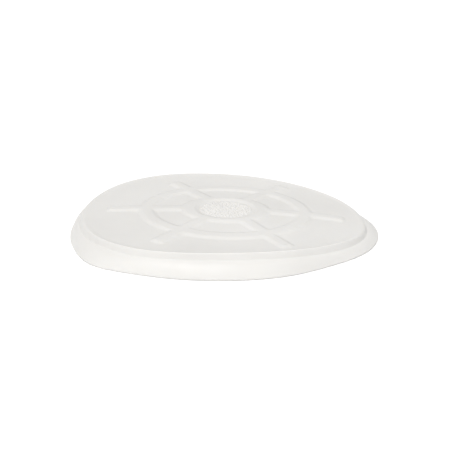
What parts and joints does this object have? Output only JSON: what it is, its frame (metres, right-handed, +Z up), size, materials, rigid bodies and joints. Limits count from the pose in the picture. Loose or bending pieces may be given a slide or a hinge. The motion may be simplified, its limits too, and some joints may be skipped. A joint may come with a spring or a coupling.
{
  "type": "bedpan lid",
  "caption": "Egg-shaped bedpan lid in frosted white plastic: low dished top with a raised wheel pattern and a sunk oval field, an upright step and a flared skirt.",
  "frame": {"origin": "middle of the lid's footprint, on the plane that the skirt's edge rests on", "axes": "+X to the narrow end, +Y across the lid, +Z up through the top; the lid is symmetric across Y"},
  "size_m": [0.368, 0.3028, 0.0278],
  "materials": {
    "lid_plastic": "frosted translucent white polypropylene, soft gloss"
  },
  "bodies": {
    "root": {"lid": "lid_plastic"}
  },
  "joints": []
}
